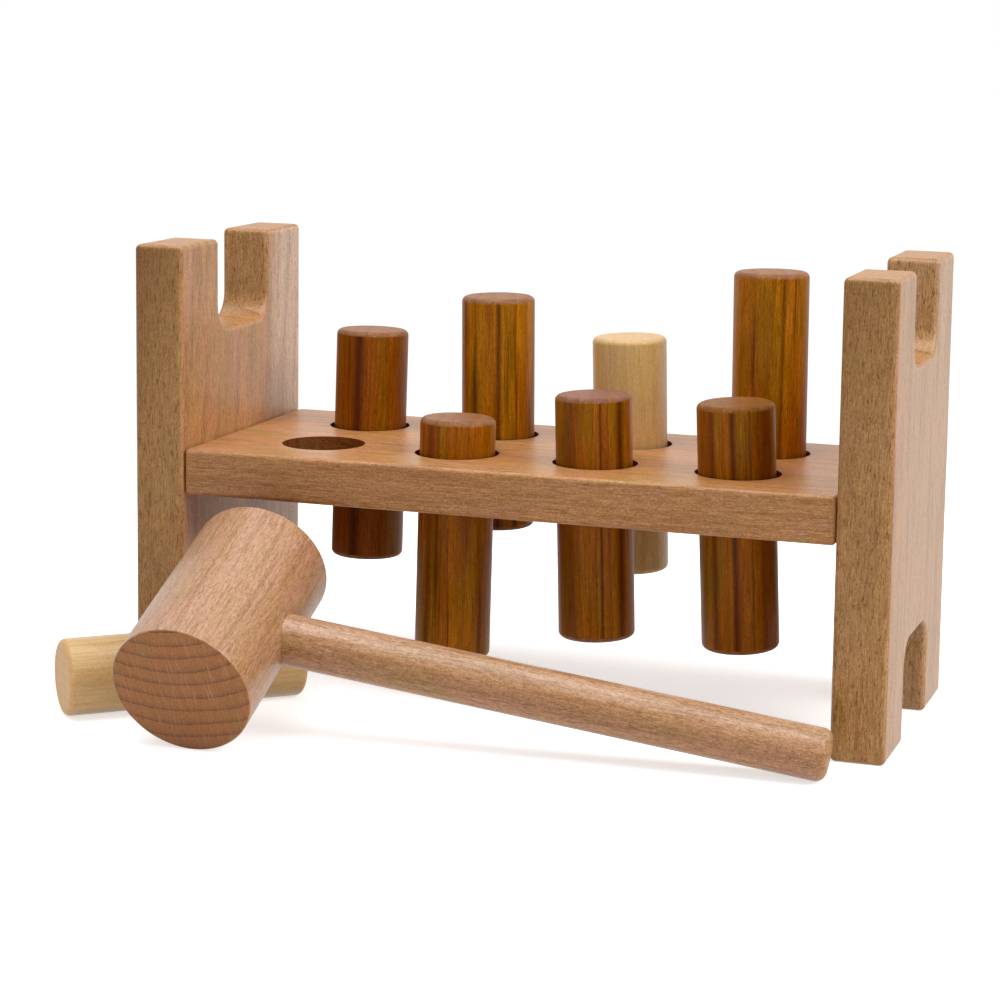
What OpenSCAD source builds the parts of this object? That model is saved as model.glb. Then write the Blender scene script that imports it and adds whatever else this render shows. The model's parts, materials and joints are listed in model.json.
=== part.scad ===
// Peg pounding bench: two notched end panels carry a drilled shelf with pegs, beside a mallet.
// The long side runs along x, the front faces -y, and the set stands on z = 0.
// The origin is the middle of the whole set's footprint, on the surface it stands on.

/* [Bench] */
// Overall length of the bench, over both panels
bench_l = 264; // [250:1:330]
// Thickness of a panel
panel_t = 18; // [15:0.5:24]
// Depth of a panel, front to back
panel_d = 102; // [98:1:130]
// Height of a panel
panel_h = 156; // [145:1:200]
// Width of each leg and of each horn beside a notch
leg_w = 30.5; // [27:0.5:38]
// Depth of the upper notch
upper_notch_h = 32; // [20:0.5:40]
// Depth of the lower notch
lower_notch_h = 33; // [20:0.5:45]
// Radius in the inner corners of a notch
notch_r = 9; // [4:0.5:12]
// Radius of the panel's outer corners
corner_r = 2; // [1:0.25:4]

/* [Shelf] */
// Thickness of the shelf
shelf_t = 16; // [14:0.5:20]
// Height of the shelf's underside
shelf_z = 70; // [60:0.5:80]
// How far the shelf stands back from the panels, front and back
shelf_setback = 1; // [0.5:0.25:2]
// Radius along the shelf's long edges
shelf_edge_r = 1.5; // [0.5:0.25:2.5]
// Diameter of the peg holes
hole_d = 29; // [28:0.25:31]
// Distance between holes along a row
hole_pitch = 49.6; // [46:0.2:52]
// Distance from the panel front to the front row
front_row_y = 31; // [28:0.5:34]
// Distance between the two rows
row_pitch = 43.5; // [42:0.5:46]

/* [Pegs] */
// Diameter of a peg
peg_d = 26; // [24:0.25:26.5]
// Length of a peg
peg_l = 83; // [76:0.5:84]
// Radius round a peg's ends
peg_edge_r = 2; // [0.5:0.25:3]

/* [Rubber rings] */
// Thickness of a ring's round section
ring_section = 3; // [2.4:0.1:3.6]
// Clearance between a ring and its peg
ring_fit = 0.05; // [0.03:0.01:0.1]
// Clearance between a ring and its groove
groove_gap = 0.3; // [0.2:0.05:0.5]

/* [Dowels] */
// Diameter of the hidden dowels
dowel_d = 8; // [6:0.5:9]
// Depth of a dowel hole in a panel
dowel_panel_depth = 12; // [8:0.5:13]
// Depth of a dowel hole in the shelf
dowel_shelf_depth = 19; // [14:0.5:20]
// Distance of a dowel from the shelf's long edge
dowel_inset = 15; // [12:0.5:16]
// Glue gap round a dowel
dowel_gap = 0.05; // [0.03:0.01:0.1]
// Space left at each end of a dowel
dowel_end_gap = 0.5; // [0.3:0.1:0.9]

/* [Mallet] */
// Diameter of the mallet head
head_d = 47.25; // [42:0.25:50]
// Length of the mallet head
head_l = 72; // [62:0.5:76]
// Radius round the ends of the head
head_edge_r = 1; // [0.5:0.25:3]
// Diameter of the handle
handle_d = 17; // [15:0.5:20]
// Length of the handle
handle_l = 215; // [190:1:220]
// Depth of the handle's bore in the head
handle_depth = 36; // [28:0.5:38]
// Radius round the handle's free end
handle_tip_r = 3.5; // [1:0.25:5]
// Radius round the handle's hidden end
handle_root_r = 1; // [0.5:0.25:1.5]
// Glue gap round the handle
handle_gap = 0.05; // [0.03:0.01:0.1]

/* [Lying pieces] */
// Slope of the mallet head, in degrees
head_slope = 22.7; // [18:0.1:26]
// Turn of the mallet head in plan, in degrees
head_turn = 91.2; // [88:0.1:93]
// Turn of the lying peg in plan, in degrees
lying_turn = 41.4; // [36:0.2:46]
// Gap between the lying peg and the panel's front corner
lying_corner_gap = 0.9; // [0.6:0.1:4]
// Distance of the lying peg's middle in front of that corner, along the peg
lying_reach = 4.2; // [0:0.2:10]
// Gap between the lying peg and the mallet head
rest_gap = 0.3; // [0.2:0.05:0.5]
// Distance of the head's middle from the peg's middle, along the peg
head_reach = 3.8; // [0:0.2:10]

/* [Hidden] */
$fn = 64;

// How far a cut runs past the face it opens
overrun = 1;

// How far each peg stands above the shelf, as shares of its length, left to right
back_stand_shares = [0.425, 0.601, 0.458, 0.76];
front_stand_shares = [0, 0.149, 0.283, 0.287];
// How each peg leans to the right and to the back, in degrees
back_leans = [[0.8, 1.2], [-0.45, -0.5], [-1.6, -0.3], [-0.5, 0.4]];
front_leans = [[0, 0], [0.7, 0.8], [-1.9, 0.1], [-2.3, -1.2]];

// The two end panels and the space between them
inner_l = bench_l - 2 * panel_t;
right_x = bench_l - panel_t;
notch_w = panel_d - 2 * leg_w;

// The shelf's outline and its holes
shelf_d = panel_d - 2 * shelf_setback;
shelf_top = shelf_z + shelf_t;
shelf_mid = shelf_z + shelf_t / 2;
row_ys = [front_row_y, front_row_y + row_pitch];
hole_xs = [for (i = [-1.5 : 1 : 1.5]) bench_l / 2 + i * hole_pitch];
ring_r = peg_d / 2 + ring_fit + ring_section / 2;
groove_r = ring_r + ring_section / 2 + groove_gap;
groove_h = ring_section + 2 * groove_gap;

// The dowels at the four corners of the shelf
dowel_l = dowel_panel_depth + dowel_shelf_depth - 2 * dowel_end_gap;
dowel_ys = [shelf_setback + dowel_inset, panel_d - shelf_setback - dowel_inset];
left_dowel_x = panel_t - dowel_panel_depth + dowel_end_gap;
right_dowel_x = right_x + dowel_panel_depth - dowel_end_gap - dowel_l;

// The lying peg: its axis passes the left panel's front corner at a set gap
peg_r = peg_d / 2;
lying_way = [cos(lying_turn), sin(lying_turn), 0];
lying_side = [-sin(lying_turn), cos(lying_turn), 0];
lying_mid = [panel_t, 0, peg_r] - (peg_r + lying_corner_gap) * lying_side - lying_reach * lying_way;

// The mallet head: its lower rim stands on the surface and its side rests on the lying peg
head_r = head_d / 2;
head_z = head_edge_r + (head_l / 2 - head_edge_r) * sin(head_slope)
  + (head_r - head_edge_r) * cos(head_slope);
head_way = [cos(head_slope) * cos(head_turn), cos(head_slope) * sin(head_turn), sin(head_slope)];
head_cross = cross(lying_way, head_way);
head_normal = head_cross / norm(head_cross);
head_rise = head_z - peg_r;
head_aside = (head_r + peg_r + rest_gap - head_rise * abs(head_normal[2]))
  / abs(head_normal * lying_side);
head_mid = [lying_mid[0], lying_mid[1], head_z]
  - head_aside * lying_side + head_reach * lying_way;

// The handle: it points along the front and its free end rests on the surface
handle_r = handle_d / 2;
handle_out = handle_l - handle_depth + head_r;
tip_run = handle_out - handle_tip_r;
tip_r = handle_r - handle_tip_r;
handle_drop = asin((head_z - handle_tip_r) / sqrt(tip_run * tip_run + tip_r * tip_r))
  - atan2(tip_r, tip_run);
handle_roll = -acos(sin(handle_drop) / cos(head_slope));

// The footprint of the set, from the reach of its outermost pieces
lying_left = lying_mid[0] - peg_edge_r - (peg_l / 2 - peg_edge_r) * cos(lying_turn)
  - (peg_r - peg_edge_r) * sin(lying_turn);
head_front = head_mid[1] - head_edge_r - (head_l / 2 - head_edge_r) * abs(head_way[1])
  - (head_r - head_edge_r) * sqrt(1 - head_way[1] * head_way[1]);
origin_x = (min(0, lying_left) + bench_l) / 2;
origin_y = (min(0, head_front) + panel_d) / 2;

// Moves a piece from the bench's own corner to the set's origin
module place() {
  translate([-origin_x, -origin_y, 0]) children();
}

// A quarter of a disc and its square, to round an outer corner of a flat outline
module corner_waste(r) {
  difference() {
    translate([-overrun, -overrun]) square(r + overrun);
    translate([r, r]) circle(r);
  }
}

// A flat notch outline, open towards +y, with round inner corners, from y = 0 upwards
module notch_outline(w, h, r) {
  translate([r, 0]) square([w - 2 * r, h + overrun]);
  translate([0, r]) square([w, h - r + overrun]);
  translate([r, r]) circle(r);
  translate([w - r, r]) circle(r);
}

// The panel's outline: depth along x, height along y
module panel_outline() {
  difference() {
    square([panel_d, panel_h]);
    translate([leg_w, panel_h - upper_notch_h]) notch_outline(notch_w, upper_notch_h, notch_r);
    translate([leg_w + notch_w, lower_notch_h]) rotate(180)
      notch_outline(notch_w, lower_notch_h, notch_r);
    for (side = [0, 1]) translate([side * panel_d, 0]) mirror([side, 0]) {
      corner_waste(corner_r);
      translate([leg_w, 0]) mirror([1, 0]) corner_waste(corner_r);
      translate([0, panel_h]) mirror([0, 1]) corner_waste(corner_r);
      translate([leg_w, panel_h]) mirror([1, 0]) mirror([0, 1]) corner_waste(corner_r);
    }
  }
}

// Holes for the dowels of one end, opening towards +x, from the depth given
module dowel_holes(depth) {
  for (y = dowel_ys) translate([-depth, y, shelf_mid]) rotate([0, 90, 0])
    cylinder(d = dowel_d + 2 * dowel_gap, h = depth + overrun);
}

// A panel in the left place, with its inner face towards +x
module panel() {
  difference() {
    rotate([90, 0, 90]) linear_extrude(panel_t) panel_outline();
    translate([panel_t, 0, 0]) dowel_holes(dowel_panel_depth);
  }
}

module left_panel() {
  color("#b58a5f") place() panel();
}

module right_panel() {
  color("#b58a5f") place() translate([bench_l, 0, 0]) mirror([1, 0, 0]) panel();
}

// The shelf's end outline: depth along x, height along y, long edges rounded
module shelf_outline() {
  difference() {
    square([shelf_d, shelf_t]);
    for (side = [0, 1], top = [0, 1]) translate([side * shelf_d, top * shelf_t])
      mirror([side, 0]) mirror([0, top]) corner_waste(shelf_edge_r);
  }
}

// One peg hole with the groove for its ring, at the middle of the shelf
module peg_hole() {
  translate([0, 0, shelf_z - overrun]) cylinder(d = hole_d, h = shelf_t + 2 * overrun);
  translate([0, 0, shelf_mid - groove_h / 2]) cylinder(r = groove_r, h = groove_h);
}

module shelf() {
  color("#b98d63") place() difference() {
    translate([panel_t, shelf_setback, shelf_z]) rotate([90, 0, 90])
      linear_extrude(inner_l) shelf_outline();
    for (x = hole_xs, y = row_ys) translate([x, y, 0]) peg_hole();
    translate([panel_t, 0, 0]) mirror([1, 0, 0]) dowel_holes(dowel_shelf_depth);
    translate([right_x, 0, 0]) dowel_holes(dowel_shelf_depth);
  }
}

// A turned rod from z = 0, with its own rounding at the lower and the upper end
module rod(r, l, low_r, high_r) {
  rotate_extrude() {
    translate([0, low_r]) square([r, l - low_r - high_r]);
    square([r - low_r, l]);
    square([r - high_r, l]);
    translate([r - low_r, low_r]) intersection() {
      circle(low_r);
      translate([0, -low_r]) square(low_r);
    }
    translate([r - high_r, l - high_r]) intersection() {
      circle(high_r);
      square(high_r);
    }
  }
}

// A fluted-dowel blank, plain because it is hidden
module dowel(x, y) {
  color("#c9a374") place() translate([x, y, shelf_mid]) rotate([0, 90, 0])
    cylinder(d = dowel_d, h = dowel_l);
}

// A rubber ring, lying flat in the groove of one hole
module ring(column, row) {
  color("#2b2b2b") place() translate([hole_xs[column], row_ys[row], shelf_mid])
    rotate_extrude() translate([ring_r, 0]) circle(d = ring_section);
}

// A peg in its hole: it leans about the ring and stands a share of its length above the shelf
module peg(column, row, stand_share, lean) {
  place() translate([hole_xs[column], row_ys[row], shelf_mid]) rotate([-lean[1], lean[0], 0])
    translate([0, 0, shelf_t / 2 + stand_share * peg_l - peg_l])
    rod(peg_r, peg_l, peg_edge_r, peg_edge_r);
}

module back_peg(column) {
  peg(column, 1, back_stand_shares[column], back_leans[column]);
}

module front_peg(column) {
  peg(column, 0, front_stand_shares[column], front_leans[column]);
}

module lying_peg() {
  color("#ead2a2") place() translate(lying_mid) rotate([0, 90, lying_turn])
    translate([0, 0, -peg_l / 2]) rod(peg_r, peg_l, peg_edge_r, peg_edge_r);
}

// Turns a piece from the mallet's own frame, with its head along z and its handle along x
module mallet_pose() {
  place() translate(head_mid) rotate([0, 90 - head_slope, head_turn])
    rotate([0, 0, handle_roll]) children();
}

module mallet_head() {
  color("#c08f68") mallet_pose() difference() {
    translate([0, 0, -head_l / 2]) rod(head_r, head_l, head_edge_r, head_edge_r);
    translate([head_r - handle_depth, 0, 0]) rotate([0, 90, 0])
      cylinder(d = handle_d + 2 * handle_gap, h = handle_depth + overrun);
  }
}

module mallet_handle() {
  color("#bd8d63") mallet_pose() translate([head_r - handle_depth + handle_gap, 0, 0])
    rotate([0, 90, 0]) rod(handle_r, handle_l - handle_gap, handle_root_r, handle_tip_r);
}

left_panel();
right_panel();
shelf();
dowel(left_dowel_x, dowel_ys[0]);  // dowel_left_front
dowel(left_dowel_x, dowel_ys[1]);  // dowel_left_back
dowel(right_dowel_x, dowel_ys[0]);  // dowel_right_front
dowel(right_dowel_x, dowel_ys[1]);  // dowel_right_back
ring(0, 0);  // ring_front_1
ring(1, 0);  // ring_front_2
ring(2, 0);  // ring_front_3
ring(3, 0);  // ring_front_4
ring(0, 1);  // ring_back_1
ring(1, 1);  // ring_back_2
ring(2, 1);  // ring_back_3
ring(3, 1);  // ring_back_4
color("#8a5a35") front_peg(1);  // peg_front_2
color("#8a5a35") front_peg(2);  // peg_front_3
color("#8a5a35") front_peg(3);  // peg_front_4
color("#8a5a35") back_peg(0);  // peg_back_1
color("#8a5a35") back_peg(1);  // peg_back_2
color("#ead2a2") back_peg(2);  // peg_back_3
color("#8a5a35") back_peg(3);  // peg_back_4
lying_peg();
mallet_head();
mallet_handle();
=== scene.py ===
# %% [markdown]
# # A peg pounding bench
#
# The real toy is a small bench of beech: two end boards, each notched at both ends so that the
# bench can be turned over, and a thick shelf between them with eight holes. Seven round pegs sit
# in the holes, gripped by rubber rings, and a beech mallet and a spare peg lie in front.
#
# This lesson dresses the measured model of that bench. The model gives every piece's place and
# size, so nothing here is placed by eye. Each board and rod is made again with the eased edges
# that sanding leaves, and then gets its own wood.

# %% load the measured model
import json
from math import pi, radians

import bmesh
import bpy
from mathutils import Euler, Matrix, Vector

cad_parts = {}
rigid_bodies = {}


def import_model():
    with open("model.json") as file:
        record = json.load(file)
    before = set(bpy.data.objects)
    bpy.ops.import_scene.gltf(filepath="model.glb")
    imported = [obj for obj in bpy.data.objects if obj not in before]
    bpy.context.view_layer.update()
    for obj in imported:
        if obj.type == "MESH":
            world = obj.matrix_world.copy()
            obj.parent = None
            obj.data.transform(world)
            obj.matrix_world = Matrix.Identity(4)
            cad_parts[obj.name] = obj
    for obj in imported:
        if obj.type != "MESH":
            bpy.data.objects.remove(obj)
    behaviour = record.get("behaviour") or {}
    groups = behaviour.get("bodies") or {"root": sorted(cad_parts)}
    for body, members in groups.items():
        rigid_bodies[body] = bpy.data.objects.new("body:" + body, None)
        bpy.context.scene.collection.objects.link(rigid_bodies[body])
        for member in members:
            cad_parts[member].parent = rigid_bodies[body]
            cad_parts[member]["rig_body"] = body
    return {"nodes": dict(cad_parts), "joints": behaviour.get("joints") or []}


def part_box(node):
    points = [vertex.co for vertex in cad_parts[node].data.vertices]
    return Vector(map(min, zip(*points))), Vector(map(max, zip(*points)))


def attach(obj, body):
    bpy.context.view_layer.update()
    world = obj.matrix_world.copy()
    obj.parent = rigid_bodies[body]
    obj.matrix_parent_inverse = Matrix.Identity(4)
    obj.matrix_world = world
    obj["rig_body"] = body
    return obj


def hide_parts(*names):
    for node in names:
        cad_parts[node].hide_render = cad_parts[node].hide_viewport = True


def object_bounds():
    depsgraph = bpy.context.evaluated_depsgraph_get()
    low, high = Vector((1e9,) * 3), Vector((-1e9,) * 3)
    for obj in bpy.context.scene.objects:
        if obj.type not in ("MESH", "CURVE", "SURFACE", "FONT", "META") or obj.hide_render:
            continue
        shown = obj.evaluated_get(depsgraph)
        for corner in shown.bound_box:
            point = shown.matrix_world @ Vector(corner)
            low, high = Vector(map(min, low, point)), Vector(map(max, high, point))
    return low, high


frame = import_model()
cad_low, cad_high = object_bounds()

MM = 0.001
RIGHT = Vector((1, 0, 0))
BACK = Vector((0, 1, 0))
UP = Vector((0, 0, 1))
set_middle = (cad_low + cad_high) / 2
print("size in mm:", [round(side / MM, 1) for side in cad_high - cad_low])

# %% [markdown]
# ## Camera
#
# A product photograph like this is taken from a step back with a long lens, a little above the
# shelf and to the right of the middle. The camera could be guessed by eye, but the straight
# edges of the boards fix it well: their corners were fitted, and the fit gives the place, the
# turn and the lens below. The small shift stands for the crop of the picture.

# %% place the camera
CAMERA_PLACE = Vector((0.28890, -0.82791, 0.24149))
CAMERA_TURN = radians(18.95)
CAMERA_DOWN = radians(7.78)
CAMERA_ROLL = radians(0.74)
LENS_MM = 95.75
SENSOR_MM = 36
PICTURE_SHIFT = -0.14

camera_data = bpy.data.cameras.new("product_camera")
camera_data.lens = LENS_MM
camera_data.sensor_width = SENSOR_MM
camera_data.shift_y = PICTURE_SHIFT
camera = bpy.data.objects.new("product_camera", camera_data)
bpy.context.scene.collection.objects.link(camera)
level_aim = Euler((pi / 2 - CAMERA_DOWN, 0, CAMERA_TURN)).to_matrix()
aim = level_aim @ Matrix.Rotation(CAMERA_ROLL, 3, "Z")
camera.matrix_world = Matrix.Translation(CAMERA_PLACE) @ aim.to_4x4()
bpy.context.scene.camera = camera
print("camera looks along", [round(part, 3) for part in aim @ Vector((0, 0, -1))])

# %% [markdown]
# ## Colours and nodes
#
# Colours are written as the hex values that a picture shows, and a material needs linear light.
# One function turns the one into the other. A second function adds any shader node with its
# settings and its links, so that a material reads from top to bottom.


# %% helpers for materials
def linear(hex_colour):
    """The linear colour of an sRGB hex value such as #c89a6a."""
    channels = []
    for start in (1, 3, 5):
        share = int(hex_colour[start:start + 2], 16) / 255
        channels.append(share / 12.92 if share <= 0.04045 else ((share + 0.055) / 1.055) ** 2.4)
    return (*channels, 1)


def add(tree, kind, inputs=None, **settings):
    """Adds a shader node. inputs holds a number, a colour or a socket to link for each input."""
    made = tree.nodes.new("ShaderNode" + kind)
    for name, value in settings.items():
        setattr(made, name, value)
    for name, value in (inputs or {}).items():
        if isinstance(value, bpy.types.NodeSocket):
            tree.links.new(value, made.inputs[name])
        else:
            made.inputs[name].default_value = value
    return made


def new_material(name):
    """An empty node material, and its tree."""
    material = bpy.data.materials.new(name)
    material.use_nodes = True
    material.node_tree.nodes.clear()
    return material, material.node_tree


print("a mid beech in linear light:", [round(part, 3) for part in linear("#c1946a")])

# %% [markdown]
# ## The light tent
#
# The set stands in a light tent of white cloth. It could be built of sheets and lamps outside
# them, but a world colour does the same with less noise. Light bounces see it dim, so that the
# lamps keep their direction. Cameras and reflections see plain white all round, which lays a
# pale sheen on every satin face that is seen at a glancing angle. The Standard view transform
# shows each colour as it is written.

# %% the tent
TENT_LIGHT = 0.36
WHITE = (1, 1, 1, 1)

world = bpy.data.worlds.new("light_tent")
world.use_nodes = True
tent = world.node_tree
tent.nodes.clear()
rays = add(tent, "LightPath")
seen = add(tent, "Math", {
    0: rays.outputs["Is Camera Ray"], 1: rays.outputs["Is Glossy Ray"],
}, operation="MAXIMUM")
shown = add(tent, "Math", {
    0: seen.outputs[0], 1: rays.outputs["Is Transmission Ray"],
}, operation="MAXIMUM")
dim = add(tent, "Background", {"Color": WHITE, "Strength": TENT_LIGHT})
plain = add(tent, "Background", {"Color": WHITE, "Strength": 1})
both = add(tent, "MixShader", {0: shown.outputs[0], 1: dim.outputs[0], 2: plain.outputs[0]})
add(tent, "OutputWorld", {"Surface": both.outputs[0]})
bpy.context.scene.world = world
bpy.context.scene.view_settings.view_transform = "Standard"
print("tent light:", TENT_LIGHT)

# %% [markdown]
# ## Two soft lamps
#
# Most of the light comes from above and a little from the right, so the tops of the boards are
# brightest and the faces towards the camera are the darkest. A sun would give hard shadows. Two
# wide area lamps give the soft ones of a studio's softboxes.


# %% the lamps
def soft_lamp(name, direction, distance, width, watts):
    """A square area lamp that faces the middle of the set."""
    data = bpy.data.lights.new(name, "AREA")
    data.size = width
    data.energy = watts
    lamp = bpy.data.objects.new(name, data)
    arm = Vector(direction).normalized()
    lamp.location = set_middle + distance * arm
    lamp.rotation_euler = arm.to_track_quat("Z", "Y").to_euler()
    bpy.context.scene.collection.objects.link(lamp)
    print(name, "at", [round(part, 2) for part in lamp.location])


soft_lamp("key_softbox", direction=(0.9, -0.15, 0.7), distance=1.5, width=0.9, watts=11.5)
soft_lamp("top_softbox", direction=(-0.1, -0.15, 1), distance=1.4, width=1.1, watts=13)

# %% [markdown]
# ## The paper under the set
#
# The set stands on a matt white sheet about a metre across, on a darker table. The sheet throws
# its light up at the boards from close by, so their feet are lighter than their tops. It is one
# large plane whose colour changes with the distance from the middle, which is simpler than a
# sheet on a table and has no edge to hide.

# %% the floor
FLOOR_SIZE = 12

floor_mesh = bpy.data.meshes.new("white_sweep")
sweep = bmesh.new()
bmesh.ops.create_grid(sweep, x_segments=1, y_segments=1, size=FLOOR_SIZE / 2)
sweep.to_mesh(floor_mesh)
sweep.free()
floor = bpy.data.objects.new("white_sweep", floor_mesh)
bpy.context.scene.collection.objects.link(floor)
print("floor of", FLOOR_SIZE, "m")

# %% the paper in the light
PAPER_REACH = 0.4
PAPER_FADE = 0.2

paper, tree = new_material("matt_white_paper")
place = add(tree, "TexCoord")
away = add(tree, "VectorMath", {
    0: place.outputs["Object"], 1: set_middle,
}, operation="DISTANCE").outputs["Value"]
table_share = add(tree, "MapRange", {
    "Value": away, "From Min": PAPER_REACH, "From Max": PAPER_REACH + PAPER_FADE,
})
sheet = add(tree, "Mix", {
    0: table_share.outputs[0], 6: linear("#f4f4f4"), 7: linear("#505050"),
}, data_type="RGBA")
lit = add(tree, "BsdfDiffuse", {"Color": sheet.outputs[2], "Roughness": 0.5})
floor_mesh.materials.append(paper)
print("paper to", PAPER_REACH, "m from the middle")

# %% [markdown]
# ## How the paper is seen
#
# The camera sees the paper light up evenly far from the set, as a sweep does when it has its own
# lamps, so that the picture ends in plain white and the shadow stays faint. Reflections see it
# nearly white. A brighter lamp would do the same, but would bleach the wood. So the glow goes to
# the rays of the camera and of reflections alone, and lights nothing.

# %% the glow of the paper
GLOW_START = 0.25
GLOW_FULL = PAPER_REACH + 0.15
NEAR_GLOW = 0.6
FAR_GLOW = 1.0
MIRRORED_GLOW = 0.9

glow_share = add(tree, "MapRange", {
    "Value": away, "From Min": GLOW_START, "From Max": GLOW_FULL,
    "To Min": NEAR_GLOW, "To Max": FAR_GLOW,
})
glow = add(tree, "Emission", {"Color": WHITE, "Strength": glow_share.outputs[0]})
seen = add(tree, "AddShader", {0: lit.outputs[0], 1: glow.outputs[0]})
plain = add(tree, "Emission", {"Color": WHITE, "Strength": MIRRORED_GLOW})
rays = add(tree, "LightPath")
to_camera = add(tree, "MixShader", {
    0: rays.outputs["Is Camera Ray"], 1: lit.outputs[0], 2: seen.outputs[0],
})
mirrored = add(tree, "Math", {
    0: rays.outputs["Is Glossy Ray"], 1: rays.outputs["Is Transmission Ray"],
}, operation="MAXIMUM")
surface = add(tree, "MixShader", {
    0: mirrored.outputs[0], 1: to_camera.outputs[0], 2: plain.outputs[0],
})
add(tree, "OutputMaterial", {"Surface": surface.outputs[0]})
paper.cycles.emission_sampling = "NONE"
print("glow from", NEAR_GLOW, "near the set to", FAR_GLOW, "at", round(GLOW_FULL, 2), "m")

# %% [markdown]
# ## How a piece of wood is drawn
#
# Wood is a solid pattern, so a flat picture wrapped round a board never looks right at its
# ends. Here each piece is cut out of its own piece of trunk: a Mapping node turns the object's
# coordinates until z runs along the grain and x points away from the pith, and every pattern
# below is drawn in that space. The grain of a real trunk wanders by a millimetre or so over a few
# centimetres, and more slowly along the trunk, and its fibres curl finely. So two noises bend the
# space first.
#
# Two more values are kept from the object's own normal: how squarely a face cuts across the
# grain, which makes it end grain, and how squarely it lies along the growth rings.

# %% lay a piece in its trunk
WANDER_SCALE = 26
WANDER_STRETCH = (1, 1, 0.3)
CURL_SCALE = 240


def faces_along(tree, direction):
    """How squarely the surface faces along a direction of the piece, from 0 to 1."""
    place = add(tree, "TexCoord")
    facing = add(tree, "VectorMath", {
        0: place.outputs["Normal"], 1: direction,
    }, operation="DOT_PRODUCT")
    return add(tree, "Math", {0: facing.outputs["Value"]}, operation="ABSOLUTE").outputs[0]


def lay_in_trunk(tree, middle, grain, outward, look):
    """Sockets that tell where in its trunk a point of the piece lies, and how it is cut there."""
    along = Vector(grain).normalized()
    across = Vector(outward) - Vector(outward).dot(along) * along
    across.normalize()
    turn = Matrix((across, along.cross(across), along))
    offset = Vector((look["pith_mm"] * MM, 0, look["seed"])) - turn @ Vector(middle)
    place = add(tree, "TexCoord")
    straight = add(tree, "Mapping", {
        "Vector": place.outputs["Object"], "Location": offset, "Rotation": turn.to_euler(),
    })
    squeezed = add(tree, "VectorMath", {
        0: straight.outputs[0], 1: WANDER_STRETCH,
    }, operation="MULTIPLY")
    slow = add(tree, "TexNoise", {"Vector": squeezed.outputs[0], "Scale": WANDER_SCALE, "Detail": 1})
    wander = look["wander_mm"] * MM
    leaned = add(tree, "VectorMath", {
        0: slow.outputs["Color"], 1: (wander, wander, 0), 2: straight.outputs[0],
    }, operation="MULTIPLY_ADD")
    quick = add(tree, "TexNoise", {"Vector": straight.outputs[0], "Scale": CURL_SCALE, "Detail": 1})
    curl = look["curl_mm"] * MM
    bent = add(tree, "VectorMath", {
        0: quick.outputs["Color"], 1: (curl, curl, 0), 2: leaned.outputs[0],
    }, operation="MULTIPLY_ADD")
    end = add(tree, "MapRange", {
        "Value": faces_along(tree, along), "From Min": look["end_from"], "From Max": look["end_to"],
    }, interpolation_type="SMOOTHSTEP")
    parts = add(tree, "SeparateXYZ", {"Vector": leaned.outputs[0]})
    return {
        "bent": bent.outputs[0],
        "outward": parts.outputs[0],
        "end": end.outputs[0],
        "along_rings": faces_along(tree, across),
        # A noise is a half on average, so the piece's middle has moved by half the wander.
        "middle_mm": look["pith_mm"] + look["wander_mm"] / 2,
    }


def drawn(tree, trunk, out_mm, side_mm, grain_mm):
    """The trunk's coordinates, where one unit is so many mm outward, sideways and along."""
    shares = (1 / (out_mm * MM), 1 / (side_mm * MM), 1 / (grain_mm * MM))
    return add(tree, "VectorMath", {0: trunk["bent"], 1: shares}, operation="MULTIPLY").outputs[0]


print("the grain bends every", round(1 / WANDER_SCALE / MM), "mm")
print("the fibres curl every", round(1 / CURL_SCALE / MM), "mm")

# %% [markdown]
# ## Growth rings
#
# Growth rings are circles round the pith, which end in a thin dark line of summer wood. The
# distance from the pith is counted in rings, a slow noise makes them uneven in width, and a
# power keeps only the end of each ring dark. A wave texture draws rings too, but can't be made
# to lean so simply.

# %% growth rings
RING_DRIFT_MM = (9, 30, 160)


def summer_lines(tree, trunk, look):
    """How much dark summer wood there is at a point, from 0 to 1."""
    flat = add(tree, "VectorMath", {0: trunk["bent"], 1: (1, 1, 0)}, operation="MULTIPLY")
    radius = add(tree, "VectorMath", {0: flat.outputs[0]}, operation="LENGTH")
    rings = add(tree, "Math", {0: radius.outputs["Value"], 1: look["ring_mm"] * MM}, operation="DIVIDE")
    drift = add(tree, "TexNoise", {
        "Vector": drawn(tree, trunk, *RING_DRIFT_MM), "Scale": 1, "Detail": 0,
    })
    count = add(tree, "Math", {
        0: drift.outputs["Fac"], 1: look["ring_drift"], 2: rings.outputs[0],
    }, operation="MULTIPLY_ADD")
    season = add(tree, "Math", {0: count.outputs[0]}, operation="FRACT")
    return add(tree, "Math", {0: season.outputs[0], 1: look["ring_power"]}, operation="POWER").outputs[0]


print("ring widths drift over", RING_DRIFT_MM, "mm outward, sideways and along")

# %% [markdown]
# ## The colour of a board
#
# No board is of one colour. Slow patches turn it pinker or yellower, its summer lines are darker,
# and a face that lies along the rings is browner all over. That is partly because so many rays are
# cut across there, and partly painted shade: on the boards and the shelf these are the front
# faces, which the light reaches least. One side can be paler sapwood. Each of these is mixed over
# the one before.

# %% colours of a board
PINK_FROM, PINK_FULL = 0.44, 0.64
YELLOW_FROM, YELLOW_FULL = 0.46, 0.64
FLAT_SHADE_FROM, FLAT_SHADE_FULL = 0.4, 0.95


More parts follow.
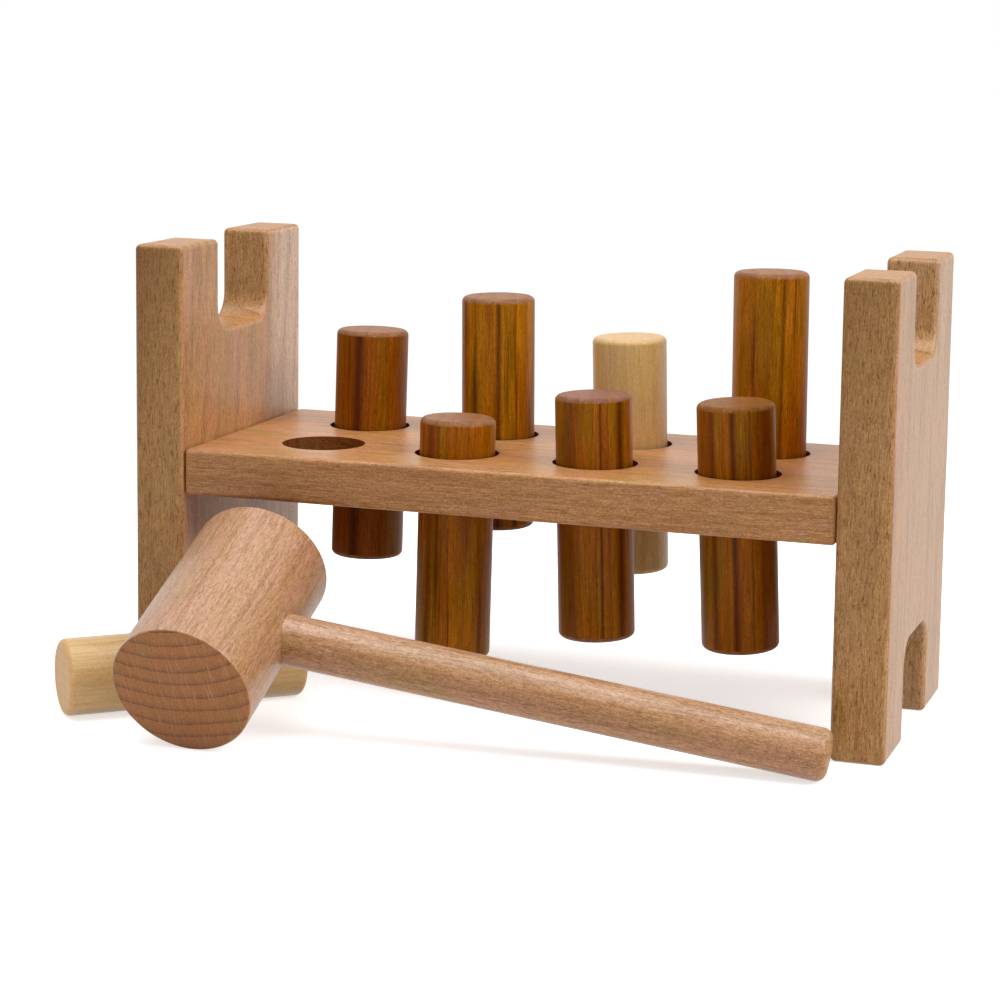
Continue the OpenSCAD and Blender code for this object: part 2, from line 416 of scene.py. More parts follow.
def board_colour(tree, trunk, summer, look):
    """The colour of a sawn board without its marks, and the share of yellower patches."""
    patches = add(tree, "TexNoise", {
        "Vector": drawn(tree, trunk, *look["patch_mm"]), "Scale": 1, "Detail": 2,
    })
    parts = add(tree, "SeparateColor", {"Color": patches.outputs["Color"]})
    pinker = add(tree, "MapRange", {
        "Value": parts.outputs[0], "From Min": PINK_FROM, "From Max": PINK_FULL,
        "To Max": look["pink_strength"],
    }, interpolation_type="SMOOTHSTEP")
    yellower = add(tree, "MapRange", {
        "Value": parts.outputs[1], "From Min": YELLOW_FROM, "From Max": YELLOW_FULL,
        "To Max": look["yellow_strength"],
    }, interpolation_type="SMOOTHSTEP")
    base = add(tree, "Mix", {
        0: pinker.outputs[0], 6: linear(look["base"]), 7: linear(look["pink"]),
    }, data_type="RGBA")
    tinted = add(tree, "Mix", {
        0: yellower.outputs[0], 6: base.outputs[2], 7: linear(look["yellow"]),
    }, data_type="RGBA")
    ringed = add(tree, "Math", {0: summer, 1: look["ring_strength"]}, operation="MULTIPLY")
    growth = add(tree, "Mix", {
        0: ringed.outputs[0], 6: tinted.outputs[2], 7: linear(look["summer"]),
    }, data_type="RGBA")
    # Browner faces along the rings: partly the cut rays, and partly painted shade on the front faces.
    flat_shade_share = add(tree, "MapRange", {
        "Value": trunk["along_rings"], "From Min": FLAT_SHADE_FROM, "From Max": FLAT_SHADE_FULL,
        "To Max": look["flat_shade_strength"],
    }, interpolation_type="SMOOTHSTEP")
    sawn = add(tree, "Mix", {
        0: flat_shade_share.outputs[0], 6: growth.outputs[2], 7: linear(look["flat"]),
    }, data_type="RGBA")
    sap_from, sap_to, sap_strength = look["sapwood"]
    sap_share = add(tree, "MapRange", {
        "Value": trunk["outward"], "From Min": (trunk["middle_mm"] + sap_from) * MM,
        "From Max": (trunk["middle_mm"] + sap_to) * MM, "To Max": sap_strength,
    }, interpolation_type="SMOOTHSTEP")
    sapped = add(tree, "Mix", {
        0: sap_share.outputs[0], 6: sawn.outputs[2], 7: linear(look["sap"]),
    }, data_type="RGBA")
    return sapped.outputs[2], yellower.outputs[0]


print("pinker where a noise passes", PINK_FROM, "and yellower where another passes", YELLOW_FROM)

# %% [markdown]
# ## Dark streaks
#
# Heartwood has dark streaks. Most are soft ones by chance, which a noise drawn out along the
# grain gives. The few strong ones of a piece are at places of their own, so each is a soft band
# at its own distance from the piece's middle.

# %% dark streaks
STREAK_EDGE = 0.16


def dark_streaks(tree, trunk, colour, look):
    """Adds the streaks of chance, and those of this piece, to a colour."""
    chance = add(tree, "TexNoise", {
        "Vector": drawn(tree, trunk, *look["streak_mm"]), "Scale": 1, "Detail": 3,
    })
    dark = add(tree, "MapRange", {
        "Value": chance.outputs["Fac"], "From Min": look["streak_from"],
        "From Max": look["streak_from"] + STREAK_EDGE, "To Max": look["streak_strength"],
    }, interpolation_type="SMOOTHSTEP").outputs[0]
    for place_mm, width_mm, strength in look["streaks"]:
        centre = (trunk["middle_mm"] + place_mm) * MM
        gap = add(tree, "Math", {0: trunk["outward"], 1: centre}, operation="SUBTRACT")
        near = add(tree, "Math", {0: gap.outputs[0]}, operation="ABSOLUTE")
        streak = add(tree, "MapRange", {
            "Value": near.outputs[0], "From Min": 0, "From Max": width_mm * MM,
            "To Min": strength, "To Max": 0,
        }, interpolation_type="SMOOTHSTEP")
        dark = add(tree, "Math", {0: dark, 1: streak.outputs[0]}, operation="MAXIMUM").outputs[0]
    return add(tree, "Mix", {0: dark, 6: colour, 7: linear(look["streak"])}, data_type="RGBA").outputs[2]


print("a streak's soft edge, in shares of a noise:", STREAK_EDGE)

# %% [markdown]
# ## Ray flecks
#
# Rays are thin sheets that point away from the pith. A face that lies along the rings cuts them
# across, and they are the short dark flecks by which one knows beech. On a face that lies along
# the rays they are faint. One noise, thin sideways and short along the grain, draws them, and
# the way the face is cut sets their strength.

# %% ray flecks
FLECK_EDGE = 0.14
CUT_FROM, CUT_FULL = 0.2, 0.9


def ray_flecks(tree, trunk, colour, look):
    """Adds the ray flecks to a colour. Gives the new colour, and the flecks alone."""
    sheets = add(tree, "TexNoise", {
        "Vector": drawn(tree, trunk, *look["ray_mm"]), "Scale": 1, "Detail": look["ray_detail"],
        "Roughness": 0.65, "Distortion": 0.4,
    })
    fleck = add(tree, "MapRange", {
        "Value": sheets.outputs["Fac"], "From Min": look["ray_from"],
        "From Max": look["ray_from"] + FLECK_EDGE,
    }, interpolation_type="SMOOTHSTEP").outputs[0]
    cut_share = add(tree, "MapRange", {
        "Value": trunk["along_rings"], "From Min": CUT_FROM, "From Max": CUT_FULL,
        "To Min": look["ray_strength"] * look["ray_least"], "To Max": look["ray_strength"],
    })
    ray = add(tree, "Math", {0: fleck, 1: cut_share.outputs[0]}, operation="MULTIPLY")
    flecked = add(tree, "Mix", {0: ray.outputs[0], 6: colour, 7: linear(look["ray"])}, data_type="RGBA")
    return flecked.outputs[2], fleck


print("a fleck's soft edge, in shares of a noise:", FLECK_EDGE)

# %% [markdown]
# ## End grain
#
# A face that is cut across the grain shows the open ends of the fibres. It is sanded less smooth
# and soaks up more oil, so it has darker colours of its own, with clear rings, and the rays turn
# into fine light lines that point at the pith. It could be a second material on the end faces,
# but then the eased edges would show a hard change. The share of end grain from the normal lets
# the one run into the other.

# %% end grain
END_RAY_MM = (9, 0.4, 5)
END_RAY_FROM, END_RAY_FULL = 0.52, 0.72
END_RAY_STRENGTH = 0.45


def end_grain(tree, trunk, colour, summer, yellower, look):
    """Turns a colour into that of end grain wherever the face is cut across."""
    end_rings = add(tree, "Math", {0: summer, 1: look["end_ring_strength"]}, operation="MULTIPLY")
    end_tint = add(tree, "Mix", {
        0: yellower, 6: linear(look["end"]), 7: linear(look["end_yellow"]),
    }, data_type="RGBA")
    end_base = add(tree, "Mix", {
        0: end_rings.outputs[0], 6: end_tint.outputs[2], 7: linear(look["end_dark"]),
    }, data_type="RGBA")
    end_rays = add(tree, "TexNoise", {
        "Vector": drawn(tree, trunk, *END_RAY_MM), "Scale": 1, "Detail": 1,
    })
    fine_rays = add(tree, "MapRange", {
        "Value": end_rays.outputs["Fac"], "From Min": END_RAY_FROM, "From Max": END_RAY_FULL,
        "To Max": END_RAY_STRENGTH,
    })
    across_grain = add(tree, "Mix", {
        0: fine_rays.outputs[0], 6: end_base.outputs[2], 7: linear(look["end_ray"]),
    }, data_type="RGBA")
    cut = add(tree, "Mix", {0: trunk["end"], 6: colour, 7: across_grain.outputs[2]}, data_type="RGBA")
    return cut.outputs[2]


print("rays on end grain, in mm outward, sideways and along:", END_RAY_MM)

# %% [markdown]
# ## Fibres and pores
#
# Fibres and pores are finer than anything above. Beech pores are under a tenth of a millimetre,
# too fine to show here, so they are drawn about four times as coarse. Both lighten and darken the
# colour a little, and a Hue/Saturation node keeps the dark ones rich, where a plain multiply
# turns them grey.

# %% fibres and pores
NOISE_LOW, NOISE_HIGH = 0.3, 0.7
DARK_TONE, LIGHT_TONE = 0.6, 1.3
DARK_RICHNESS, LIGHT_RICHNESS = 1.18, 0.97


def fibres_and_pores(tree, trunk, colour, look):
    """Tones a colour by its fibres and pores. Gives the colour, the fibres and the pores."""
    fibre = add(tree, "TexNoise", {
        "Vector": drawn(tree, trunk, *look["fibre_mm"]), "Scale": 1, "Detail": 3, "Roughness": 0.6,
    })
    pore = add(tree, "TexNoise", {
        "Vector": drawn(tree, trunk, *look["pore_mm"]), "Scale": 1, "Detail": 2, "Roughness": 0.7,
    })
    fibre_tone = add(tree, "MapRange", {
        "Value": fibre.outputs["Fac"], "From Min": NOISE_LOW, "From Max": NOISE_HIGH,
        "To Min": 1 - look["fibre_strength"], "To Max": 1 + look["fibre_strength"],
    })
    pore_tone = add(tree, "MapRange", {
        "Value": pore.outputs["Fac"], "From Min": NOISE_LOW, "From Max": NOISE_HIGH,
        "To Min": 1 - look["pore_strength"], "To Max": 1 + look["pore_strength"],
    })
    tone = add(tree, "Math", {0: fibre_tone.outputs[0], 1: pore_tone.outputs[0]}, operation="MULTIPLY")
    richness = add(tree, "MapRange", {
        "Value": tone.outputs[0], "From Min": DARK_TONE, "From Max": LIGHT_TONE,
        "To Min": DARK_RICHNESS, "To Max": LIGHT_RICHNESS,
    })
    toned = add(tree, "HueSaturation", {
        "Saturation": richness.outputs[0], "Value": tone.outputs[0], "Color": colour,
    })
    return toned.outputs[0], fibre.outputs["Fac"], pore.outputs["Fac"]


print("tones from", DARK_TONE, "to", LIGHT_TONE, "with richness from", DARK_RICHNESS, "to", LIGHT_RICHNESS)

# %% [markdown]
# ## The oiled surface
#
# Oil lies thin on sanded wood: a satin sheen, with an IOR near that of hardened oil. The pores
# and rays sink a hair below the surface and the fibres stand as fine ribs, which a bump of a
# tenth of a millimetre gives. They could be cut into the mesh, but that takes millions of faces
# and looks the same. End grain is duller.

# %% the oiled surface
PORE_RELIEF = 0.5
FLECK_RELIEF = -0.4
RELIEF_DEPTH = 0.1 * MM
SMOOTHER, DULLER = -0.05, 0.07
END_DULLER = 0.12
OIL_IOR = 1.48


def oiled_surface(tree, trunk, colour, fleck, fibre, pore, look):
    """Ends the tree in a satin wood surface, with the relief of its fibres, pores and rays."""
    relief = add(tree, "Math", {0: pore, 1: PORE_RELIEF, 2: fibre}, operation="MULTIPLY_ADD")
    height = add(tree, "Math", {
        0: fleck, 1: FLECK_RELIEF, 2: relief.outputs[0],
    }, operation="MULTIPLY_ADD")
    bump = add(tree, "Bump", {
        "Height": height.outputs[0], "Strength": look["bump"], "Distance": RELIEF_DEPTH,
    })
    dull = add(tree, "MapRange", {
        "Value": fibre, "From Min": NOISE_LOW, "From Max": NOISE_HIGH,
        "To Min": look["roughness"] + SMOOTHER, "To Max": look["roughness"] + DULLER,
    })
    rough = add(tree, "Math", {
        0: trunk["end"], 1: END_DULLER, 2: dull.outputs[0],
    }, operation="MULTIPLY_ADD")
    shader = add(tree, "BsdfPrincipled", {
        "Base Color": colour, "Roughness": rough.outputs[0], "Normal": bump.outputs[0],
        "IOR": OIL_IOR, "Specular IOR Level": look["specular"],
    })
    add(tree, "OutputMaterial", {"Surface": shader.outputs[0]})


print("relief of", RELIEF_DEPTH / MM, "mm under oil of IOR", OIL_IOR)

# %% [markdown]
# ## A whole wood
#
# The steps above now go one over the other, as they do in the real thing: the tree gives the
# rings, the sapwood and the streaks, the saw lays the rays open, and oil brings it all out. One
# function makes every wood of the bench, so a piece only has to say which way its grain runs,
# where its pith was and how its wood looks.


# %% the whole wood
def wood(name, middle, grain, outward, look):
    """A wood material. grain and outward are directions, and look holds colours and sizes in mm."""
    material, tree = new_material(name)
    trunk = lay_in_trunk(tree, middle, grain, outward, look)
    summer = summer_lines(tree, trunk, look)
    sawn, yellower = board_colour(tree, trunk, summer, look)
    streaked = dark_streaks(tree, trunk, sawn, look)
    flecked, fleck = ray_flecks(tree, trunk, streaked, look)
    cut = end_grain(tree, trunk, flecked, summer, yellower, look)
    toned, fibre, pore = fibres_and_pores(tree, trunk, cut, look)
    oiled_surface(tree, trunk, toned, fleck, fibre, pore, look)
    print(name, "has", len(tree.nodes), "nodes")
    return material


# %% [markdown]
# ## Beech
#
# The boards and the mallet are steamed beech, sanded and oiled: a pinkish tan with short brown
# flecks and a satin sheen. One dictionary holds a wood, and a piece changes only what sets it
# apart. In it
# - a name that ends in mm is a size in millimetres: three of them are outward, sideways and
#   along the grain,
# - a name that ends in strength is the share of a colour at its fullest,
# - streak_from and ray_from say how high a noise is before a mark starts, so less makes more marks,
# - end_from and end_to say how squarely the grain is cut where end grain starts and is full,
# - sapwood is where the pale wood starts and where it is full, in mm outward from the piece's
#   middle, and its strength,
# - streaks lists the piece's own: their place in mm outward, their width in mm and strength,
# - pith_mm is how far the pith is from the middle, and seed says how far up the trunk it is cut.

# %% beech
BEECH = {
    "base": "#c08d5f", "pink": "#c49074", "pink_strength": 0.6, "yellow": "#b38c58", "yellow_strength": 0.6,
    # flat is the browner tint of faces along the rings, and partly painted shade on the front faces.
    "patch_mm": (10, 8, 26), "flat": "#a87e48", "flat_shade_strength": 0.65,
    "summer": "#9c6c3e", "ring_mm": 5.0, "ring_drift": 1.0, "ring_power": 4, "ring_strength": 0.25,
    "sap": "#d2b196", "sapwood": (20, 60, 0),
    "streak": "#8e6034", "streak_mm": (2.0, 1.4, 45), "streak_from": 0.48, "streak_strength": 0.4,
    "streaks": [],
    "ray": "#6b3d0a", "ray_mm": (6, 0.6, 2.8), "ray_from": 0.54, "ray_detail": 3, "ray_strength": 0.85,
    "ray_least": 0.12,
    "end": "#b98457", "end_yellow": "#a98a5c", "end_dark": "#7d4f2a", "end_ray": "#d2a37c",
    "end_ring_strength": 0.8, "end_from": 0.4, "end_to": 0.8,
    "fibre_mm": (0.45, 0.45, 6), "fibre_strength": 0.24, "pore_mm": (0.4, 0.4, 0.9), "pore_strength": 0.28,
    "bump": 0.4, "roughness": 0.3, "specular": 0.5,
    "pith_mm": 90, "wander_mm": 2.0, "curl_mm": 0.3, "seed": 0,
}
print("beech:", len(BEECH), "settings")

# %% [markdown]
# ## Brown hardwood and maple
#
# Six pegs are a heavy golden-brown hardwood with red-brown streaks, such as acacia. It is dense
# and drinks its oil, so it shines less, and its rays are too small to make flecks of their own.
# The other two pegs are pale maple, close and even, with hardly a mark.

# %% the woods of the pegs
BROWN = {
    "base": "#9f5a06", "pink": "#8e4202", "pink_strength": 0.6, "yellow": "#936408", "yellow_strength": 0.7,
    "patch_mm": (5, 9, 60), "flat": "#9f5a06", "flat_shade_strength": 0,
    "summer": "#784004", "ring_mm": 5.5, "ring_drift": 1.5, "ring_power": 2, "ring_strength": 0.4,
    "sap": "#b9782a", "sapwood": (9, 14, 0),
    "streak": "#451202", "streak_mm": (2.0, 3.0, 90), "streak_from": 0.56, "streak_strength": 0.45,
    "streaks": [],
    "ray": "#542803", "ray_mm": (0.7, 0.3, 3.0), "ray_from": 0.55, "ray_detail": 2, "ray_strength": 0.5,
    "ray_least": 0.8,
    # The end colours are paler and pinker than the sides: partly end grain, and partly painted sheen and
    # top light on the peg tops, spread over the rounded rims by the low end_from.
    "end": "#95694c", "end_yellow": "#976844", "end_dark": "#6e4428", "end_ray": "#b58a6c",
    "end_ring_strength": 0.4, "end_from": 0.12, "end_to": 0.3,
    "fibre_mm": (0.4, 0.4, 12), "fibre_strength": 0.3, "pore_mm": (0.32, 0.32, 1.1), "pore_strength": 0.18,
    "bump": 0.3, "roughness": 0.33, "specular": 0.12,
    "pith_mm": 60, "wander_mm": 1.2, "curl_mm": 0.2, "seed": 0,
}
MAPLE = {
    "base": "#dab67b", "pink": "#d8b083", "pink_strength": 0.5, "yellow": "#d4b270", "yellow_strength": 0.5,
    "patch_mm": (6, 6, 30), "flat": "#d4b074", "flat_shade_strength": 0,
    "summer": "#c59b5c", "ring_mm": 3.6, "ring_drift": 1.0, "ring_power": 3, "ring_strength": 0.2,
    "sap": "#e4c694", "sapwood": (4, 14, 0.3),
    "streak": "#bd9052", "streak_mm": (2, 2, 60), "streak_from": 0.52, "streak_strength": 0.25,
    "streaks": [],
    "ray": "#b48850", "ray_mm": (2.0, 0.4, 1.4), "ray_from": 0.54, "ray_detail": 2, "ray_strength": 0.35,
    "ray_least": 0.5,
    "end": "#dcb684", "end_yellow": "#d7b37a", "end_dark": "#c19964", "end_ray": "#eccea6",
    "end_ring_strength": 0.3, "end_from": 0.15, "end_to": 0.4,
    "fibre_mm": (0.4, 0.4, 10), "fibre_strength": 0.1, "pore_mm": (0.32, 0.32, 1.1), "pore_strength": 0.1,
    "bump": 0.25, "roughness": 0.32, "specular": 0.5,
    "pith_mm": 60, "wander_mm": 1.5, "curl_mm": 0.2, "seed": 0,
}
print("settings that all woods share:", len(set(BEECH) & set(BROWN) & set(MAPLE)))

# %% [markdown]
# ## Finishing a piece
#
# Every new piece ends the same way: doubles are merged, its faces turned outwards, and it takes
# its material, its body and the node that it stands for. A Weighted Normal modifier keeps the
# broad faces flat while the narrow roundings shade smoothly. Auto smooth by angle would leave
# a visible line where a rounding ends.

# %% finish a piece
SHARP = radians(40)
WELD = 0.001 * MM


def middle_of(node):
    """The middle of a node's box."""
    low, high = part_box(node)
    return (low + high) / 2


def sharp_edges(shape):
    """The edges where two faces meet at a clear angle."""
    return [e for e in shape.edges if len(e.link_faces) == 2 and e.calc_face_angle() > SHARP]


def ease(shape, edges, radius, steps):
    """Rounds the edges, as sandpaper does."""
    bmesh.ops.bevel(
        shape, geom=edges, offset=radius, offset_type="OFFSET", segments=steps, profile=0.5,
        affect="EDGES", material=-1, clamp_overlap=True,
    )


def make_piece(shape, name, node, material):
    """Turns a bmesh into a finished piece that stands for a node of the model."""
    bmesh.ops.remove_doubles(shape, verts=shape.verts, dist=WELD)
    bmesh.ops.recalc_face_normals(shape, faces=shape.faces)
    open_edges = sum(1 for edge in shape.edges if len(edge.link_faces) != 2)
    mesh = bpy.data.meshes.new(name)
    shape.to_mesh(mesh)
    shape.free()
    mesh.shade_smooth()
    mesh.materials.append(material)
    piece = bpy.data.objects.new(name, mesh)
    bpy.context.scene.collection.objects.link(piece)
    flatten = piece.modifiers.new("flat_faces", "WEIGHTED_NORMAL")
    flatten.keep_sharp = True
    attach(piece, frame["nodes"][node]["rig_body"])
    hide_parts(node)
    print(name, len(mesh.polygons), "faces,", open_edges, "open edges")
    return piece


# %% [markdown]
# ## The end boards
#
# Each board is sawn from 18 mm beech, and the two notches are cut with a round tool, so their
# inner corners are arcs. The outline starts as twelve points, the notch corners are bevelled as
# vertices, the face is extruded to the board's thickness, and all the outer edges are eased. A
# cube with two Booleans would do as well, but leaves worse faces to round.

# %% shape an end board
LEG = 30.5 * MM
UPPER_NOTCH = 32 * MM
LOWER_NOTCH = 33 * MM
NOTCH_RADIUS = 9 * MM
NOTCH_CORNERS = (2, 3, 8, 9)
NOTCH_STEPS = 12
BOARD_EASED = 1.9 * MM


def end_board(node):
    """An end board with its two notches."""
    low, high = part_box(node)
    front, back = low.y, high.y
    outline = [
        (front, low.z), (front + LEG, low.z), (front + LEG, low.z + LOWER_NOTCH),
        (back - LEG, low.z + LOWER_NOTCH), (back - LEG, low.z), (back, low.z),
        (back, high.z), (back - LEG, high.z), (back - LEG, high.z - UPPER_NOTCH),
        (front + LEG, high.z - UPPER_NOTCH), (front + LEG, high.z), (front, high.z),
    ]
    shape = bmesh.new()
    corners = [shape.verts.new((low.x, y, z)) for y, z in outline]
    shape.faces.new(corners)
    bmesh.ops.bevel(
        shape, geom=[corners[i] for i in NOTCH_CORNERS], offset=NOTCH_RADIUS, offset_type="OFFSET",
        segments=NOTCH_STEPS, profile=0.5, affect="VERTICES", material=-1,
    )
    pulled = bmesh.ops.extrude_face_region(shape, geom=shape.faces[:])
    moved = [item for item in pulled["geom"] if isinstance(item, bmesh.types.BMVert)]
    bmesh.ops.translate(shape, verts=moved, vec=(high.x - low.x, 0, 0))
    bmesh.ops.recalc_face_normals(shape, faces=shape.faces)
    ease(shape, sharp_edges(shape), BOARD_EASED, steps=5)
    return shape


print("notches", UPPER_NOTCH / MM, "and", LOWER_NOTCH / MM, "mm deep, between legs of", LEG / MM, "mm")

# %% [markdown]
# ## The wood of the end boards
#
# The grain stands upright. The pith lay in front of the boards, so their narrow front faces lie
# along the rings and carry most of the flecks, and the broad faces are quieter. The front faces
# are browner too, which is partly painted shade. Both boards are paler towards the back. A dark
# band lies just outside the front face, and the grain leans a little, so the band darkens the
# front face towards its top alone.

# %% make the end boards
PANEL_GRAIN = (0.02, 0.03, 1)
PANEL_OUTWARD = (0.15, 1, 0)
PANEL_BEECH = {**BEECH, "pith_mm": 70, "streak": "#7c5022", "streak_mm": (5, 4.5, 50), "streak_from": 0.47}
PANELS = {
    "left_panel": {
        "seed": 0.31, "base": "#c59263", "sap": "#d6b69c", "sapwood": (16, 34, 0.9),
        "streaks": [(-55, 6, 0.85)], "streak_strength": 0.26,
    },
    "right_panel": {
        "seed": 0.77, "sap": "#c49c74", "sapwood": (-46, -16, 0.6),
        "streaks": [(-55, 6, 0.5)], "streak_strength": 0.3,
    },
}
for node, change in PANELS.items():
    beech = wood(
        "oiled_beech_" + node, middle_of(node), PANEL_GRAIN, PANEL_OUTWARD, {**PANEL_BEECH, **change},
    )
    make_piece(end_board(node), node + "_board", node, beech)

# %% [markdown]
# ## The shelf
#
# The shelf is 16 mm beech, bored with eight holes. A grid gives one cell for each hole. Each
# cell's edges are subdivided, the cell is inset, and the inset loop is cast onto a circle.
# Deleting the round face and extruding the sheet makes a board with true round walls, which a
# Boolean would leave full of long triangles.
#
# The board ends a hair short of each end board, and the joint shows as the thin dark line that
# a butt joint of two eased boards has.

# %% lay out the sheet of the shelf
END_PLAY = 0.3 * MM
HOLES_IN_ROW = 4
COLUMNS = HOLES_IN_ROW + 2
ROWS = 2
holes = [f"{row}_{i + 1}" for row in ("front", "back") for i in range(HOLES_IN_ROW)]
hole_middles = [middle_of("ring_" + hole) for hole in holes]
hole_pitch = hole_middles[1].x - hole_middles[0].x


def from_nearest_hole(point):
    """How far a point is from the axis of the nearest hole."""
    return min((point - middle).to_2d().length for middle in hole_middles)


def hole_grid(low, high):
    """A flat sheet with one cell round each hole, and those cells."""
    first, behind = hole_middles[0], hole_middles[HOLES_IN_ROW]
    inner = [first.x + (i - 0.5) * hole_pitch for i in range(HOLES_IN_ROW + 1)]
    column_places = [low.x + END_PLAY] + inner + [high.x - END_PLAY]
    row_places = [low.y, (first.y + behind.y) / 2, high.y]
    shape = bmesh.new()
    bmesh.ops.create_grid(shape, x_segments=COLUMNS, y_segments=ROWS, size=1)
    for vert in shape.verts:
        column = round((vert.co.x + 1) / 2 * COLUMNS)
        row = round((vert.co.y + 1) / 2 * ROWS)
        vert.co = (column_places[column], row_places[row], low.z)
    shape.faces.ensure_lookup_table()
    cells = []
    for middle in hole_middles:
        cells.append(min(
            shape.faces, key=lambda face: (face.calc_center_median() - middle).to_2d().length,
        ))
    return shape, cells


print("holes every", round(hole_pitch / MM, 2), "mm")

# %% [markdown]
# ## Boring and thickening the shelf
#
# Each cell becomes a ring of 96 sides, and the sheet is pulled up to the board's thickness. The
# rims and the outer edges are told apart by how near they are to a hole, because the drill
# leaves a crisper edge than the sander does.
#
# The rims are asked to be half a millimetre round, but come out sharp. The inset is wider than
# the shortest edges of a cell, so each ring folds back a hair at its four corner points, and the
# bevel's clamp then holds the rims to about 0.003 mm and leaves 68 open edges of that size. An
# inset of 1 mm gives round rims and no open edge.

# %% shape the shelf
HOLE_RADIUS = 14.5 * MM
RIM = 0.5 * MM
SHELF_EASED = 1.5 * MM
CELL_CUTS = 23
CELL_INSET = 2 * MM


def cast_circle(verts, centre, radius):
    """Moves verts out from an upright axis until they lie at the radius."""
    for vert in verts:
        arm = (vert.co - centre).to_2d()
        arm = arm.normalized() * radius
        vert.co.x = centre.x + arm.x
        vert.co.y = centre.y + arm.y


def shelf_board():
    """The shelf with its eight holes."""
    low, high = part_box("shelf")
    shape, cells = hole_grid(low, high)
    edges = {edge for cell in cells for edge in cell.edges}
    bmesh.ops.subdivide_edges(shape, edges=list(edges), cuts=CELL_CUTS)
    for cell, middle in zip(cells, hole_middles):
        bmesh.ops.inset_individual(shape, faces=[cell], thickness=CELL_INSET)
        cast_circle(cell.verts, middle, HOLE_RADIUS)
    bmesh.ops.delete(shape, geom=cells, context="FACES_ONLY")
    pulled = bmesh.ops.extrude_face_region(shape, geom=shape.faces[:])
    moved = [item for item in pulled["geom"] if isinstance(item, bmesh.types.BMVert)]
    bmesh.ops.translate(shape, verts=moved, vec=(0, 0, high.z - low.z))
    bmesh.ops.recalc_face_normals(shape, faces=shape.faces)
    rims = []
    outer = []
    for edge in sharp_edges(shape):
        near_hole = from_nearest_hole(edge.verts[0].co) < HOLE_RADIUS + RIM
        (rims if near_hole else outer).append(edge)
    ease(shape, rims, RIM, steps=2)
    ease(shape, outer, SHELF_EASED, steps=4)
    return shape


print("holes", 2 * HOLE_RADIUS / MM, "mm wide, their rims asked to be", RIM / MM, "mm round")

# %% [markdown]
# ## The wood of the shelf
#
# The grain runs along the shelf. Its top lies along the rays, so it is quiet, and the front edge
# carries the flecks and is browner, which is partly painted shade. The walls of the holes get a
# darker, duller beech in a second material slot: partly the wood that a large drill browns as it
# rubs, and partly painted shade deep inside the holes. The faces that take it are known by their
# distance from the hole's axis.

# %% make the shelf
SHELF_GRAIN = (1, 0.02, 0.01)
SHELF_OUTWARD = (0, 1, 0.1)
SHELF_BEECH = {
    **BEECH, "seed": 1.4, "ray_strength": 0.4, "base": "#c78f5f", "flat": "#ae7c50",
    "roughness": 0.36, "specular": 0.45,
}
# Darker beech of the hole walls: partly drill-browned wood, and partly painted shade in the holes.
BORED_AND_SHADED_BEECH = {
    **BEECH, "seed": 1.4, "base": "#8a4a20", "pink": "#84401a", "yellow": "#7a4a1a", "flat_shade_strength": 0,
    "streak": "#5c3216", "ray": "#4f2c12", "roughness": 0.5, "specular": 0.3,
    "end": "#74401c", "end_yellow": "#74451c", "end_dark": "#4a2410", "end_ray": "#94643c",
}
shelf_middle = middle_of("shelf")
beech = wood("oiled_beech_shelf", shelf_middle, SHELF_GRAIN, SHELF_OUTWARD, SHELF_BEECH)
bored = wood("drilled_and_shaded_beech", shelf_middle, RIGHT, BACK, BORED_AND_SHADED_BEECH)
board = make_piece(shelf_board(), "shelf_board", "shelf", beech)
board.data.materials.append(bored)
for face in board.data.polygons:
    face.material_index = 1 if from_nearest_hole(face.center) < HOLE_RADIUS + RIM / 4 else 0
print("bored faces:", sum(face.material_index for face in board.data.polygons))

# %% [markdown]
# ## Round rods
#
# The pegs and the handle are lengths of round rod, and the mallet head is a turned billet. Each
# starts as a capped cylinder whose rims are eased, and is then laid along its own axis. A spun
# outline gives the same shape with more steps.


# %% shape a rod
def rod(node, axis, radius, length, rim, sides=96):
    """A rod along axis in the middle of the node's box, with rims rounded."""
    shape = bmesh.new()
    bmesh.ops.create_cone(
        shape, cap_ends=True, segments=sides, radius1=radius, radius2=radius, depth=length,
    )
    ease(shape, sharp_edges(shape), rim, steps=6)
    turn = Vector(axis).to_track_quat("Z", "Y").to_matrix().to_4x4()
    bmesh.ops.transform(shape, matrix=Matrix.Translation(middle_of(node)) @ turn, verts=shape.verts)
    return shape


slides = {joint["child"]: Vector(joint["axis"]) for joint in frame["joints"]}
print("slides:", len(slides))

# %% [markdown]
# ## The pegs
#
# A peg's joint slides along the peg itself, so the joint gives its axis, lean and all. Each peg
# is cut from its own place in the trunk, and its strongest streaks were measured from side to
# side on the real ones, so the pith of a standing peg lies aside as the camera sees it. That of
# the lying peg is below it.

# %% make the pegs
PEG_RADIUS = 13 * MM
PEG_LENGTH = 83 * MM
PEG_RIM = 2 * MM
ASIDE = Vector((0.946, 0.325, 0))
